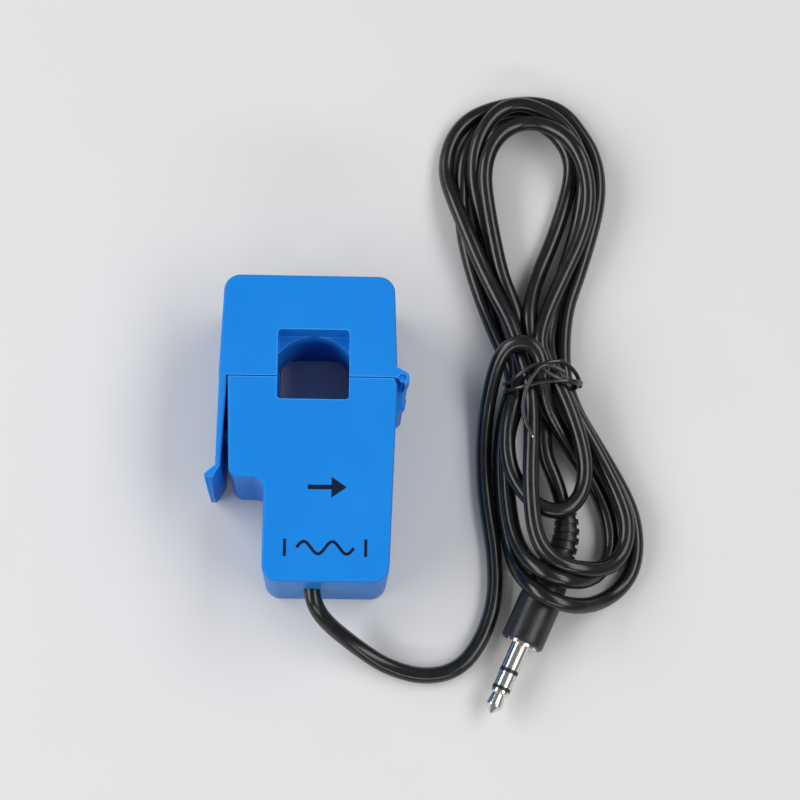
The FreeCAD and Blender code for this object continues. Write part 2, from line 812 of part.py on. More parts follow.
def make_contacts():
    """Sleeve, ring and tip, each with a stem that runs back inside the next, and two insulators."""
    sleeve = joined([plug_ring_solid(0.0, sleeve_end, contact_r, liner_outer),
                     plug_ring_solid(shank_back, 0.0, shank_r, liner_outer),
                     plug_ring_solid(0.0, collar_thick, collar_r, liner_outer)])
    rear = joined([plug_ring_solid(sleeve_end, ring_start, contact_r, ring_outer),
                   plug_ring_solid(shank_back, sleeve_end, liner_outer, ring_outer)])
    ring = joined([plug_ring_solid(ring_start, ring_end, contact_r, ring_core),
                   plug_ring_solid(shank_back, ring_start, ring_outer, ring_core)])
    front = joined([plug_ring_solid(ring_end, tip_start, contact_r, tip_core),
                    plug_ring_solid(shank_back, ring_end, ring_core, tip_core)])
    end = contact_length
    tip = turned([(shank_back, 0.0), (shank_back, tip_core), (tip_start, tip_core), (tip_start, contact_r),
                  (tip_start + 0.5, contact_r), (tip_start + 0.8, 1.3), (end - 1.8, 1.55),
                  (end - 1.5, 1.55), (end - 0.15, 0.35), (end, 0.0)], plug_base, plug_ahead)
    return sleeve, rear, ring, front, tip


def relief_path():
    """The bent centre line of the strain relief, from the grip's rear to the lead."""
    start = plug_at(-grip_length)
    back = plug_ahead * -1
    left = V(-back.y, back.x, 0)
    centre = start + left * relief_bend_r
    return start, back, left, centre


def relief_place(share):
    """A point and direction on the bent relief, from 0 at the grip to 1 at the lead."""
    start, back, left, centre = relief_path()
    angle = math.radians(relief_turn) * share
    point = centre - left * (relief_bend_r * math.cos(angle)) + back * (relief_bend_r * math.sin(angle))
    way = back * math.cos(angle) + left * math.sin(angle)
    return point, way


def make_grip():
    """The moulded grip with its bent, ribbed strain relief."""
    body = turned([(0.0, 0.0), (0.0, grip_r - 0.3), (-0.3, grip_r), (-8.0, grip_r),
                   (-grip_length + 1.2, grip_rear_r), (-grip_length, relief_r + 0.1), (-grip_length, 0.0)],
                  plug_base, plug_ahead)
    core_r = relief_r - rib_gap_depth
    stem_start, stem_way = relief_place(0.0)
    middle, ignored = relief_place(0.5)
    stem_end, end_way = relief_place(1.0)
    path = Part.Wire([Part.Arc(stem_start, middle, stem_end).toShape()])
    rings = [Part.Wire([Part.Circle(stem_start, stem_way, core_r).toShape()]),
             Part.Wire([Part.Circle(stem_end, end_way, relief_rear_r - rib_gap_depth + 0.25).toShape()])]
    stem = path.makePipeShell(rings, True, False)
    parts = [body, stem]
    arc_length = relief_bend_r * math.radians(relief_turn)
    rib_width = arc_length / relief_ribs * rib_share
    for number in range(relief_ribs):
        share = (number + rib_offset) / relief_ribs
        place, way = relief_place(share)
        radius = relief_r + (relief_rear_r - relief_r) * share
        parts.append(Part.makeCylinder(radius, rib_width, place - way * (rib_width / 2), way))
    grip = joined(parts)
    return grip.cut(plug_ring_solid(shank_back, 1.0, shank_r, 0.0))


def smooth_outline(points, closed):
    """A face inside one smooth curve, which a straight edge closes where it isn't a ring."""
    curve = Part.BSplineCurve()
    places = [V(x, y, 0) for x, y in points]
    curve.interpolate(Points=places, PeriodicFlag=closed)
    edges = [curve.toShape()]
    if not closed:
        edges.append(Part.LineSegment(places[-1], places[0]).toShape())
    return Part.Face(Part.Wire(edges))


def raised(face, z0, z1):
    solid = face.extrude(V(0, 0, z1 - z0))
    solid.translate(V(0, 0, z0))
    return solid


def hank_profile():
    """The hank seen from the side: its bundle climbs over the plug at the near end."""
    points = [V(0, hank_far_end, 0), V(0, hank_far_end, hank_top), V(0, waist_low, hank_top),
              V(0, hank_near_end, hank_top_near), V(0, hank_near_end, 0)]
    face = Part.Face(Part.makePolygon(points + [points[0]]))
    return face.extrude(V(hank_right_limit, 0, 0))


def plug_room():
    """The space that the plug takes under the near loops."""
    room = [turned([(1.0, 0.0), (1.0, grip_r + hank_clearance), (-grip_length, grip_r + hank_clearance),
                    (-grip_length - 1.0, 0.0)], plug_base, plug_ahead)]
    for number in range(2 * relief_ribs + 1):
        place, ignored = relief_place(number / (2 * relief_ribs))
        room.append(Part.makeSphere(relief_r + 2 * hank_clearance, place))
    return joined(room)


def inner_loop_band():
    """The smallest turn of the hank, which lies over the tail."""
    half = inner_loop_half
    parts = []
    for (x0, y0), (x1, y1) in zip(inner_loop, inner_loop[1:]):
        long = math.hypot(x1 - x0, y1 - y0)
        nx, ny = -(y1 - y0) / long * half, (x1 - x0) / long * half
        parts.append(prism([(x0 + nx, y0 + ny), (x1 + nx, y1 + ny), (x1 - nx, y1 - ny), (x0 - nx, y0 - ny)],
                           inner_loop_low, inner_loop_high))
    for x, y in inner_loop:
        parts.append(cylinder(x, y, inner_loop_low, inner_loop_high, half))
    return joined(parts)


def waist_ring(inset):
    """The tied bundle's outline across its strands, drawn in from its outside."""
    corners = [(waist_left, 0), (waist_right, 0), (waist_right, waist_shoulder),
               (waist_right - waist_shoulder_in, waist_top), (waist_left + waist_shoulder_in, waist_top),
               (waist_left, waist_shoulder)]
    wire = Part.makePolygon([V(x, 0, z) for x, z in corners + corners[:1]])
    return Part.Face(wire).makeOffset2D(-inset, 2).OuterWire if inset else wire


def waist_bar(inset, y0, y1):
    bar = Part.Face(waist_ring(inset)).extrude(V(0, y1 - y0, 0))
    bar.translate(V(0, y0, 0))
    return bar


def make_hank():
    """The coiled lead as one solid: two open loops of bundled cord, narrow where the tie holds them."""
    top = hank_top_near
    far = raised(smooth_outline(far_outside, False), 0, hank_top)
    far = far.cut(raised(smooth_outline(far_opening, True), -1, hank_top + 1))
    near = raised(smooth_outline(near_outside, False), 0, top)
    near = near.cut(raised(smooth_outline(near_opening, False), -1, top + 1))
    near = near.common(hank_profile())
    near = near.cut(plug_room())
    waist = waist_bar(0, waist_low, waist_high).common(
        box(waist_left, waist_low, 0, waist_right, waist_high, hank_top))
    tied = waist_bar(0, twist_y - waist_tied_half, twist_y + waist_tied_half)
    whole = joined([far, near, waist, tied, inner_loop_band()])
    room = 2 * twist_r + twist_clearance
    groove = box(waist_left - 1, twist_y - room / 2, -1, waist_right + 1, twist_y + room / 2, waist_top + 1)
    whole = whole.cut(groove.cut(waist_bar(room, twist_y - room, twist_y + room)))
    turn_back = box(turn_back_x, turn_back_y - turn_back_wide / 2, hank_top - turn_back_sunk,
                    turn_back_x + turn_back_long, turn_back_y + turn_back_wide / 2, turn_back_top)
    return joined([whole, turn_back])


def make_tail():
    """The last of the lead, from the hank's near opening to the strain relief."""
    end, way = relief_place(1.0)
    edge_y = near_opening[0][1]
    points = [V(tail_x, edge_y, tail_z), V(tail_x, edge_y - tail_run, tail_z), end + way * tail_last_run, end]
    return tube(points, cord_r)


def make_twist_tie():
    """The coated wire round the waist, with its two ends twisted together."""
    corners = [V(v.Point.x, twist_y, v.Point.z) for v in
               waist_ring(twist_r + twist_clearance / 2).OrderedVertexes]
    middle = (corners[0] + corners[1]) / 2
    ring = tube([middle] + corners[1:] + [corners[0], middle], twist_r, twist_corner_r)
    start = V(pigtail_start.x, twist_y, waist_top - twist_r)
    stub = Part.makeCylinder(twist_r, pigtail_start.z - start.z, start, V(0, 0, 1))
    ahead = pigtail_end - pigtail_start
    pigtail = Part.makeCylinder(pigtail_r, ahead.Length, pigtail_start, ahead)
    return joined([ring, stub, pigtail])


jaw = make_jaw()
shell = body_shell()
front_shell = make_front_shell(shell)
rear_shell = make_rear_shell(shell)
bobbin_front, bobbin_rear = make_bobbin()
copper, tape = make_winding()
red_wire, white_wire, coil_ends = make_wires()
sleeve, rear_insulator, ring, front_insulator, tip = make_contacts()

nodes = {
    "jaw_shell": jaw,
    "upper_core": make_upper_core(),
    "core_spring": make_core_spring(),
    "front_shell": front_shell,
    "rear_shell": rear_shell,
    "lower_core": make_lower_core(),
    "bobbin_front_half": bobbin_front,
    "bobbin_rear_half": bobbin_rear,
    "secondary_winding": copper,
    "winding_tape": tape,
    "winding_ends": coil_ends,
    "load_board": make_board(),
    "load_resistor": make_resistor(),
    "red_conductor": red_wire,
    "white_conductor": white_wire,
    "cord_tie": make_cord_tie(),
    "cord_lead": tube(lead_points, cord_r),
    "cord_hank": make_hank(),
    "cord_tail": make_tail(),
    "twist_tie": make_twist_tie(),
    "plug_grip": make_grip(),
    "plug_sleeve": sleeve,
    "plug_rear_insulator": rear_insulator,
    "plug_ring": ring,
    "plug_front_insulator": front_insulator,
    "plug_tip": tip,
}

os.makedirs("parts", exist_ok=True)
for name, shape in nodes.items():
    shape.exportStep(os.path.join("parts", name + ".step"))
    box_of = shape.BoundBox
    print(name, "solids", len(shape.Solids), "valid", shape.isValid(), "volume", round(shape.Volume, 1),
          [round(v, 1) for v in (box_of.XMin, box_of.YMin, box_of.ZMin, box_of.XMax, box_of.YMax, box_of.ZMax)])
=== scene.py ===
import bpy
import bmesh
import math
from mathutils import Matrix, Vector


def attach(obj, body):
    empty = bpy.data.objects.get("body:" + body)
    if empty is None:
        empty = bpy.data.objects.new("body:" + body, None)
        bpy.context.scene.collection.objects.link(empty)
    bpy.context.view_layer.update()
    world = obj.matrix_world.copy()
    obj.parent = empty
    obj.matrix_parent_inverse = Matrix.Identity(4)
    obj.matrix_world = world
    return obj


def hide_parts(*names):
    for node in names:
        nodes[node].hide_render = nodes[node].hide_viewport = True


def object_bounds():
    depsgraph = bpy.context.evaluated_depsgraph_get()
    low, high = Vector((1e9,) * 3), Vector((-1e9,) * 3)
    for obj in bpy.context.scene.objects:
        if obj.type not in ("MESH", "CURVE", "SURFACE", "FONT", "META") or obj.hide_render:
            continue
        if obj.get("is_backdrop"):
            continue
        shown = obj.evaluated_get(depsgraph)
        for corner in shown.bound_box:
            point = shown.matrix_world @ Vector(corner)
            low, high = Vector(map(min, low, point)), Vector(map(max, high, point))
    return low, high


# %% [markdown]
# # A clip-on current transformer
# The object is a blue hinged housing with a split magnetic core inside, on a long black lead
# that is folded into a hank and ends in a small audio plug. The solid parts come ready as a
# fixed frame, and this lesson dresses them: it builds what is soft or thin, and gives every part
# a finish made of nodes. The frame is loaded first, so that each new piece is placed from it.

# %% Load the frame
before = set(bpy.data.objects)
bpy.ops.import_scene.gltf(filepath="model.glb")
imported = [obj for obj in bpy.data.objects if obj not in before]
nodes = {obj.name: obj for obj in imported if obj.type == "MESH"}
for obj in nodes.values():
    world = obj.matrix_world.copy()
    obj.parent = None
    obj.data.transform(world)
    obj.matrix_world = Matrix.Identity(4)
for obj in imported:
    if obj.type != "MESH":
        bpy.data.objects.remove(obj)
cad_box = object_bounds()
MM = 0.001
print("parts in the frame:", len(nodes))

# %% [markdown]
# ## The camera
# The photograph looks down at the object from a little below its lower end. A long lens far away
# keeps the sides nearly parallel. Its turn is written as three small rotations, which are easier
# to read than a target point. Their order matters: about X first, then Y, then Z.

# %% Camera
SENSOR_WIDTH = 36.0
FOCAL_PIXELS = 1863.8
IMAGE_PIXELS = 800
CAMERA_PLACE = Vector((3.84, -88.50, 346.83)) * MM
CAMERA_TURN = (0.2474, -0.0353, 0.0155)
CLIP_START = 0.01


def rotation(angles):
    """One turn made of three, in radians about X, Y and Z."""
    about_x, about_y, about_z = angles
    return (Matrix.Rotation(about_x, 4, "X") @ Matrix.Rotation(about_y, 4, "Y")
            @ Matrix.Rotation(about_z, 4, "Z"))


lens_data = bpy.data.cameras.new("photo_camera")
lens_data.sensor_width = SENSOR_WIDTH
lens_data.lens = FOCAL_PIXELS * SENSOR_WIDTH / IMAGE_PIXELS
lens_data.clip_start = CLIP_START
camera = bpy.data.objects.new("photo_camera", lens_data)
bpy.context.scene.collection.objects.link(camera)
camera.matrix_world = Matrix.Translation(CAMERA_PLACE) @ rotation(CAMERA_TURN)
bpy.context.scene.camera = camera
bpy.context.scene.view_settings.view_transform = "Standard"
print("lens in mm:", round(lens_data.lens, 2))

# %% [markdown]
# ## The lead
# The lead is one soft round cord, 3 mm thick. It leaves the lower end of the housing, lies on the
# table, climbs over the tied waist of its own hank and turns back there. Then it goes round four
# long loops on each side of the tie, and ends in the plug's strain relief.
# It could be a mesh swept along points, but one smooth curve with a round bevel is simpler: its
# control points can be moved by hand, and it stays smooth between them. The points are listed
# stretch by stretch, each with its height, because the turns lie beside and on each other.

# %% From the housing over the waist, in millimetres
CORD_RADIUS = 1.5
lead_run = [
    (0.3, -35.9, 12.0), (0.3, -39.2, 12.0), (0.7, -41.6, 11.6), (1.9, -43.7, 10.0),
    (3.9, -45.5, 7.6), (6.4, -47.2, 5.2), (9.6, -49.3, 3.1), (14.2, -52.1, 1.7),
    (21.0, -54.0, 1.5), (27.6, -52.6, 1.5), (32.0, -47.0, 1.5), (34.5, -39.4, 1.5),
    (34.4, -30.6, 1.5), (32.6, -20.0, 1.5), (32.3, -10.6, 1.7), (32.9, -3.4, 3.2),
    (33.7, 1.4, 5.7), (34.9, 5.6, 8.3), (37.1, 7.9, 10.1), (40.3, 7.9, 11.0),
    (42.4, 5.7, 10.6), (42.9, 2.6, 9.5),
]
print("points of the run:", len(lead_run))

# %% [markdown]
# The near loops lie between the tie and the plug. Where one crosses another its height is that
# of the turn below plus a cord's thickness, so the loops rest on each other without cutting.

# %% Near loops
near_second = [
    (43.3, -0.8, 7.6), (44.4, -4.0, 5.6), (46.8, -7.4, 3.6), (49.5, -11.4, 2.2),
    (52.8, -16.4, 1.6), (55.2, -21.4, 1.6), (56.3, -26.0, 1.6), (56.1, -30.4, 2.1),
    (54.5, -33.7, 3.2), (52.1, -35.8, 5.2), (49.4, -36.8, 7.7), (46.4, -36.9, 9.7),
    (43.2, -35.9, 10.0), (40.6, -33.8, 8.6), (38.8, -30.9, 6.5), (37.6, -27.2, 4.9),
    (36.9, -22.6, 4.3), (36.5, -17.1, 4.2), (36.5, -9.6, 4.2), (38.2, -3.2, 4.0),
    (41.3, 2.4, 2.5),
]
near_inner = [
    (47.1, -0.8, 7.2), (48.5, -4.2, 7.0), (50.1, -9.0, 6.6), (51.0, -13.3, 6.5),
    (51.0, -17.4, 6.9), (49.8, -21.0, 7.3), (47.4, -23.4, 7.7), (44.2, -23.7, 7.8),
    (41.2, -22.2, 7.7), (38.8, -19.4, 7.3), (36.9, -15.6, 7.1), (36.3, -11.2, 7.1),
    (36.7, -6.4, 7.0), (38.0, -1.8, 6.2), (39.2, 2.4, 5.0),
]
near_third = [
    (48.4, -2.0, 4.5), (51.8, -8.1, 4.2), (55.1, -14.4, 4.2), (57.9, -20.5, 4.3),
    (59.2, -25.2, 4.3), (58.6, -29.8, 4.4), (56.4, -33.1, 5.4), (53.2, -34.5, 7.2),
    (49.8, -34.6, 8.8), (46.6, -34.2, 9.6), (44.1, -32.8, 9.6), (42.1, -30.4, 9.7),
    (40.9, -26.9, 9.9), (40.4, -21.5, 10.1), (40.4, -16.0, 9.8), (40.8, -9.8, 8.9),
    (40.9, -3.0, 8.0), (40.3, 2.4, 7.6),
]
near_outer = [
    (48.9, -0.4, 2.2), (50.6, -4.2, 1.6), (53.4, -8.9, 1.5), (56.5, -14.4, 1.5),
    (58.9, -18.9, 1.5), (60.6, -23.3, 1.5), (61.2, -28.6, 1.5), (60.4, -33.4, 1.5),
    (58.3, -36.7, 1.6), (55.2, -39.2, 2.8), (51.8, -40.8, 5.4), (48.4, -41.4, 8.2),
    (44.8, -40.9, 9.8), (41.6, -39.2, 9.6), (39.3, -36.4, 7.0), (38.0, -33.2, 3.4),
    (37.3, -29.4, 1.7), (36.3, -24.2, 1.5), (35.6, -17.1, 1.5), (35.7, -9.4, 1.5),
    (36.7, -3.0, 1.9), (38.3, 2.0, 2.5),
]
near_loops = (near_second, near_inner, near_third, near_outer)
print("points of the near loops:", [len(loop) for loop in near_loops])

# %% [markdown]
# The far loops lie beyond the tie, one inside the other. The inner ones ride on the outer ones
# where they cross.

# %% Far loops
far_inner = [
    (41.2, 7.6, 1.8), (39.9, 12.0, 2.2), (38.2, 17.0, 3.9), (35.9, 22.6, 4.4),
    (34.5, 29.2, 4.4), (33.2, 36.4, 4.8), (32.3, 43.4, 5.3), (33.7, 49.4, 5.4),
    (37.4, 53.7, 5.0), (42.3, 55.0, 4.9), (47.5, 52.5, 6.2), (51.0, 47.7, 7.4),
    (52.9, 42.0, 5.8), (52.7, 35.8, 4.7), (50.7, 29.6, 4.5), (48.1, 24.0, 4.4),
    (45.5, 18.2, 4.6), (43.4, 12.6, 5.8), (42.6, 8.6, 6.5), (43.8, 5.2, 6.5),
    (45.6, 2.2, 7.2),
]
far_third = [
    (39.0, 7.0, 4.6), (37.5, 12.0, 4.3), (35.4, 19.0, 1.8), (34.0, 26.5, 1.6),
    (32.9, 31.5, 1.6), (31.7, 37.5, 2.4), (30.5, 43.0, 3.4), (30.7, 48.8, 4.0),
    (32.6, 53.8, 4.4), (35.6, 57.5, 4.4), (39.5, 58.9, 4.4), (43.8, 57.7, 4.5),
    (48.0, 54.8, 4.6), (51.0, 50.0, 4.5), (52.4, 45.2, 3.0), (52.2, 40.0, 1.8),
    (51.2, 34.4, 1.6), (49.6, 29.0, 1.6), (47.6, 22.6, 1.6), (45.7, 16.0, 1.8),
    (44.6, 10.4, 3.0), (44.9, 6.0, 4.2), (46.6, 2.4, 4.9),
]
far_outer = [
    (39.2, 6.2, 7.3), (38.3, 9.4, 7.0), (37.0, 13.4, 6.6), (34.7, 18.2, 5.9),
    (32.1, 24.2, 5.0), (29.4, 31.0, 4.9), (26.8, 38.0, 3.9), (25.2, 43.6, 2.0),
    (25.3, 48.6, 1.5), (26.9, 53.2, 1.5), (29.9, 56.7, 1.5), (34.0, 58.7, 1.5),
    (38.4, 59.9, 1.5), (42.8, 60.2, 1.5), (46.7, 59.4, 1.5), (49.6, 57.4, 1.5),
    (51.7, 54.4, 1.5), (53.8, 51.0, 1.5), (55.1, 46.8, 1.5), (55.4, 42.2, 1.5),
    (54.8, 37.4, 1.5), (53.5, 32.4, 1.5), (52.0, 27.4, 1.5), (50.5, 22.8, 1.5),
    (48.9, 18.4, 1.5), (48.0, 13.2, 1.6), (47.7, 7.8, 2.0), (47.9, 3.4, 2.4),
]
far_second = [
    (37.3, 6.4, 2.1), (35.3, 10.8, 1.6), (32.5, 18.0, 1.5), (30.0, 26.0, 1.5),
    (28.4, 34.0, 1.5), (28.3, 42.0, 1.5), (28.8, 48.5, 1.5), (31.2, 53.6, 1.5),
    (35.8, 56.9, 1.5), (40.8, 57.4, 1.5), (45.3, 55.4, 1.5), (48.5, 52.0, 1.5),
    (50.0, 48.2, 1.5), (49.9, 44.0, 1.5), (48.5, 38.5, 1.5), (46.4, 32.0, 1.5),
    (43.8, 25.6, 1.9), (41.6, 19.6, 3.5), (40.9, 13.6, 4.8), (41.5, 8.8, 4.6),
    (43.3, 4.6, 3.1), (44.4, 1.2, 2.5),
]
far_loops = (far_inner, far_third, far_outer, far_second)
print("points of the far loops:", [len(loop) for loop in far_loops])

# %% [markdown]
# The last stretch runs into the plug's strain relief. Then all stretches are put in the order in
# which the cord takes them: over the waist, and round a near and a far loop by turns.

# %% The whole route
tail_run = [
    (44.1, -3.2, 1.8), (43.7, -8.4, 2.9), (43.9, -12.9, 4.0), (46.03, -17.62, 4.0),
    (47.36, -23.06, 4.0),
]
lead_route = (lead_run + near_second + far_inner + near_inner + far_third + near_third
              + far_outer + near_outer + far_second + tail_run)
print("control points of the lead:", len(lead_route))

# %% [markdown]
# A NURBS spline of order 3 passes close to its control points without touching them, as a cord
# that is laid round pegs does. The order and the end points are set after the points are added,
# because Blender forgets them otherwise. Each point carries the cord's real radius and the bevel
# depth is 1, because a curve's box is widened by its points' radius.

# %% Make a round cord from points
CURVE_ORDER = 3


def round_wire(name, routes, radius, sides=10, steps=6):
    """A curve object with one smooth open spline for each route of points in millimetres."""
    data = bpy.data.curves.new(name, "CURVE")
    data.dimensions = "3D"
    data.bevel_depth = 1.0
    data.bevel_resolution = sides // 2 - 2
    data.use_fill_caps = True
    for route in routes:
        spline = data.splines.new("NURBS")
        spline.points.add(len(route) - 1)
        for point, place in zip(spline.points, route):
            point.co = (*(Vector(place) * MM), 1.0)
            point.radius = radius * MM
        spline.order_u = CURVE_ORDER
        spline.use_endpoint_u = True
        spline.resolution_u = steps
        spline.use_smooth = True
    made = bpy.data.objects.new(name, data)
    bpy.context.scene.collection.objects.link(made)
    return made


lead = round_wire("lead_and_hank", [lead_route], CORD_RADIUS, sides=16, steps=6)
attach(lead, "housing")
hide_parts("cord_lead", "cord_hank", "cord_tail")
print("made:", lead.name, "with", len(lead_route), "points")

# %% [markdown]
# The length is measured on the curve itself. A copy without its bevel turns into a plain line of
# short edges, and their sum is the length of the lead.

# %% Measure the lead
def length_of(curve_object):
    """The length of a curve's own line, read without its bevel."""
    plain = curve_object.data.copy()
    plain.bevel_depth = 0.0
    carrier = bpy.data.objects.new("measured_line", plain)
    bpy.context.scene.collection.objects.link(carrier)
    line = bpy.data.meshes.new_from_object(carrier)
    places = [vertex.co for vertex in line.vertices]
    total = sum((places[a] - places[b]).length for a, b in (edge.vertices for edge in line.edges))
    bpy.data.objects.remove(carrier)
    bpy.data.curves.remove(plain)
    bpy.data.meshes.remove(line)
    return total


print("length of the lead in m:", round(length_of(lead), 4))

# %% [markdown]
# ## The twist tie
# A thin plastic-coated wire holds the hank at its waist. It goes round twice, its two ends are
# twisted together on top, and one end hangs down over the near loops, where the cut shows the
# steel inside. The passes are a little askew, because a neat ring would look like a moulded part.

# %% Twist tie
TIE_RADIUS = 0.42
STEEL_RADIUS = 0.22
first_pass = [
    (42.4, 3.0, 11.0), (44.2, 1.6, 10.9), (47.4, 0.8, 9.8), (50.0, 0.9, 7.6),
    (50.4, 1.3, 4.4), (50.2, 1.6, 1.6), (48.4, 1.4, 0.4), (43.4, 1.2, 0.4),
    (38.2, 0.8, 0.4), (36.4, 0.4, 1.8), (36.2, -0.3, 5.0), (37.0, -0.6, 8.4),
    (39.0, -0.5, 9.8), (41.4, 0.1, 10.6), (44.2, 0.6, 10.6), (47.6, 0.8, 10.2),
    (50.3, 1.0, 8.4), (50.9, 1.7, 4.6), (50.5, 2.2, 1.8), (48.6, 2.6, 0.4),
    (43.4, 2.8, 0.4), (38.2, 2.6, 0.4), (36.3, 2.2, 1.8), (36.1, 1.2, 5.0),
    (36.7, 0.6, 8.2), (38.6, 2.0, 10.3), (40.8, 3.4, 11.0), (42.6, 3.8, 11.2),
    (44.8, 4.3, 11.0), (46.7, 4.5, 10.4), (48.7, 3.4, 9.0), (50.1, 2.0, 7.4),
    (50.5, 0.8, 5.6),
]
loose_end = [
    (46.9, 2.2, 10.9), (45.2, 3.1, 11.4), (43.2, 3.5, 11.6), (42.0, 2.8, 11.8),
    (41.2, 1.6, 11.8), (40.2, 0.2, 11.5), (39.3, -2.0, 11.2), (38.9, -4.6, 11.0),
    (39.2, -6.8, 10.9), (39.9, -8.6, 11.2), (40.7, -10.2, 11.4),
]
tie = round_wire("twist_tie_wire", [first_pass, loose_end], TIE_RADIUS, sides=10, steps=6)
bare_steel = [(40.5, -9.7, 11.33), (40.66, -10.1, 11.39), (40.82, -10.55, 11.46)]
steel_end = round_wire("tie_steel_end", [bare_steel], STEEL_RADIUS, sides=8, steps=2)
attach(tie, "housing")
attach(steel_end, "housing")
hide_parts("twist_tie")
print("made:", tie.name, "and", steel_end.name)

# %% [markdown]

# %% [markdown]
# ## Marks on the front
# The front carries two small marks in dark ink. On this part they are plain signs: an arrow for
# the direction of the current, and a wave between two bars for alternating current. They could be
# painted in the material, but thin raised shapes stay sharp close up and export as geometry.

# %% A flat mark from strips
FRONT_Z = 22.0
INK_HEIGHT = 0.02
INK_SUNK = 0.01


def flat_mark(name, strips, body):
    """One thin closed piece on the front face. Each strip is an upper and a lower line in mm."""
    data = bpy.data.meshes.new(name)
    made = bmesh.new()
    for upper, lower in strips:
        rows = [[made.verts.new(Vector((x, y, z)) * MM) for x, y in line]
                for line, z in ((upper, FRONT_Z + INK_HEIGHT), (lower, FRONT_Z + INK_HEIGHT),
                                (lower, FRONT_Z - INK_SUNK), (upper, FRONT_Z - INK_SUNK))]
        last = len(upper) - 1
        for i in range(last):
            for first, second in zip(rows, rows[1:] + rows[:1]):
                made.faces.new((first[i], second[i], second[i + 1], first[i + 1]))
        made.faces.new([row[0] for row in rows][::-1])
        made.faces.new([row[last] for row in rows])
    bmesh.ops.recalc_face_normals(made, faces=made.faces)
    made.to_mesh(data)
    made.free()
    mark = bpy.data.objects.new(name, data)
    bpy.context.scene.collection.objects.link(mark)
    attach(mark, body)
    return mark


def level_strip(x0, x1, middle, half0, half1):
    """A strip along X that is half0 high at its start and half1 at its end, to each side."""
    upper = [(x0, middle + half0), (x1, middle + half1)]
    lower = [(x0, middle - half0), (x1, middle - half1)]
    return upper, lower


print("height of a mark in mm:", INK_HEIGHT)

# %% [markdown]
# The arrow is two strips: an even shaft, and a head that narrows to a blunt point.

# %% Arrow
ARROW_Y = -22.6
ARROW_LEFT = -0.6
ARROW_NECK = 3.6
ARROW_TIP = 6.2
SHAFT_HALF = 0.42
HEAD_HALF = 1.9
POINT_HALF = 0.08
HEAD_OVERLAP = 0.1
shaft = level_strip(ARROW_LEFT, ARROW_NECK + HEAD_OVERLAP, ARROW_Y, SHAFT_HALF, SHAFT_HALF)
head = level_strip(ARROW_NECK, ARROW_TIP, ARROW_Y, HEAD_HALF, POINT_HALF)
arrow = flat_mark("current_arrow", [shaft, head], "housing")
print("made:", arrow.name)

# %% [markdown]
# The wave is a sine line. Its two edges are set off square to the line, so that it keeps an even
# thickness on its slopes. Two upright bars stand beside it.

# %% Wave between two bars
WAVE_Y = -33.5
WAVE_LEFT = -2.4
WAVE_RIGHT = 7.7
WAVE_HEIGHT = 1.1
WAVE_PERIODS = 2
WAVE_STEPS = 64
LINE_HALF = 0.27
BAR_PLACES = (-4.5, 9.8)
BAR_HALF = 1.55


def wave_strip():
    """A sine line of even thickness."""
    pace = 2 * math.pi * WAVE_PERIODS / (WAVE_RIGHT - WAVE_LEFT)
    upper, lower = [], []
    for i in range(WAVE_STEPS + 1):
        along = (WAVE_RIGHT - WAVE_LEFT) * i / WAVE_STEPS
        centre = Vector((WAVE_LEFT + along, WAVE_Y + WAVE_HEIGHT * math.sin(pace * along)))
        slope = WAVE_HEIGHT * pace * math.cos(pace * along)
        across = Vector((-slope, 1.0)).normalized() * LINE_HALF
        upper.append(tuple(centre + across))
        lower.append(tuple(centre - across))
    return upper, lower


bars = [level_strip(x - LINE_HALF, x + LINE_HALF, WAVE_Y, BAR_HALF, BAR_HALF) for x in BAR_PLACES]
wave = flat_mark("wave_sign", [wave_strip()] + bars, "housing")
print("made:", wave.name)

# %% [markdown]
# ## Effects that several finishes share
# Moulding grain, worn edges and fine dust are seen on many parts, so each is built once as a node
# group with named inputs and outputs. A group gives only masks and heights. The shader stays in
# the material, where the export can read it. Small helpers keep the node code short: the first
# three add a node, link it or set it, and do one sum.

# %% Node helpers
def feed(tree, socket, value):
    """Links value to a socket if it is an output, and otherwise sets it."""
    if isinstance(value, bpy.types.NodeSocket):
        tree.links.new(value, socket)
    else:
        socket.default_value = value


def new_node(tree, kind, inputs=None, **settings):
    """Adds a node, with its settings and its inputs by name or number."""
    made = tree.nodes.new(kind)
    for name, value in settings.items():
        setattr(made, name, value)
    for key, value in (inputs or {}).items():
        feed(tree, made.inputs[key], value)
    return made


def maths(tree, operation, first, second=0.0, third=0.0):
    """The result of one Math node."""
    terms = {0: first, 1: second, 2: third}
    return new_node(tree, "ShaderNodeMath", terms, operation=operation).outputs[0]


print("helpers:", [helper.__name__ for helper in (feed, new_node, maths)])

# %% [markdown]
# The other helpers make a smooth step, mix two colours, start a node group and give the place
# that a texture is read at. Places are in metres, so a count per millimetre is multiplied by 1000.

# %% Ramps, mixes and groups
def ramp(tree, value, low, high, to_low=0.0, to_high=1.0):
    """A smooth step of value from low to high."""
    ends = {"From Min": low, "From Max": high, "To Min": to_low, "To Max": to_high}
    return new_node(tree, "ShaderNodeMapRange", {"Value": value, **ends},
                    interpolation_type="SMOOTHSTEP").outputs["Result"]


def mixed(tree, share, first, second):
    """Two colours mixed by share. A Mix node names its sockets alike, so they go by number."""
    made = new_node(tree, "ShaderNodeMix", data_type="RGBA")
    feed(tree, made.inputs["Factor"], share)
    feed(tree, made.inputs[6], first)
    feed(tree, made.inputs[7], second)
    return made.outputs[2]


